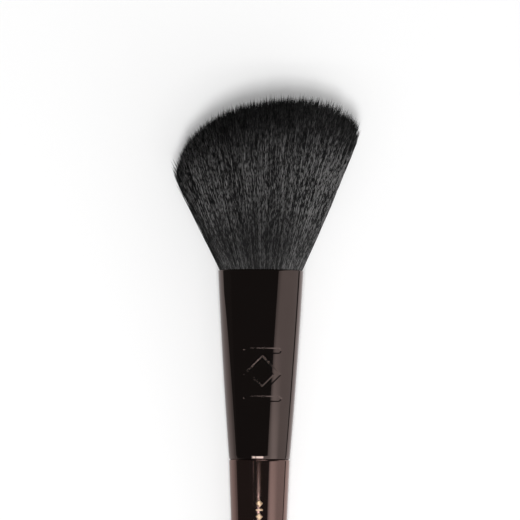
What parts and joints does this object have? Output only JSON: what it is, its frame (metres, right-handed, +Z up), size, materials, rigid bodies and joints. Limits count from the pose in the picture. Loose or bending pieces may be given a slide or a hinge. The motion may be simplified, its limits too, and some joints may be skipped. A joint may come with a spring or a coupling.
{
  "type": "powder brush",
  "caption": "Angled face powder brush: a slanted, fanned head of fine black bristles in a tapered dark metal ferrule on a slim brown lacquered handle.",
  "frame": {"origin": "on the plane that the brush lies on, below the middle of the whole brush", "axes": "+Y runs along the brush from the butt of the handle to the bristle tips, +Z is up from the plane, and +X points to the head's taller corner"},
  "size_m": [0.0444, 0.1852, 0.0328],
  "materials": {
    "bristle": "fine black synthetic fibres with a soft grey sheen",
    "thread": "waxed thread",
    "glue": "hardened clear amber epoxy",
    "ferrule_metal": "dark bronze metallic plating, mirror gloss",
    "handle_lacquer": "turned wood under high-gloss metallic brown lacquer"
  },
  "bodies": {
    "root": {"bristles": "bristle", "binding_thread": "thread", "root_glue": "glue", "ferrule": "ferrule_metal", "tenon_glue": "glue", "handle": "handle_lacquer"}
  },
  "joints": []
}
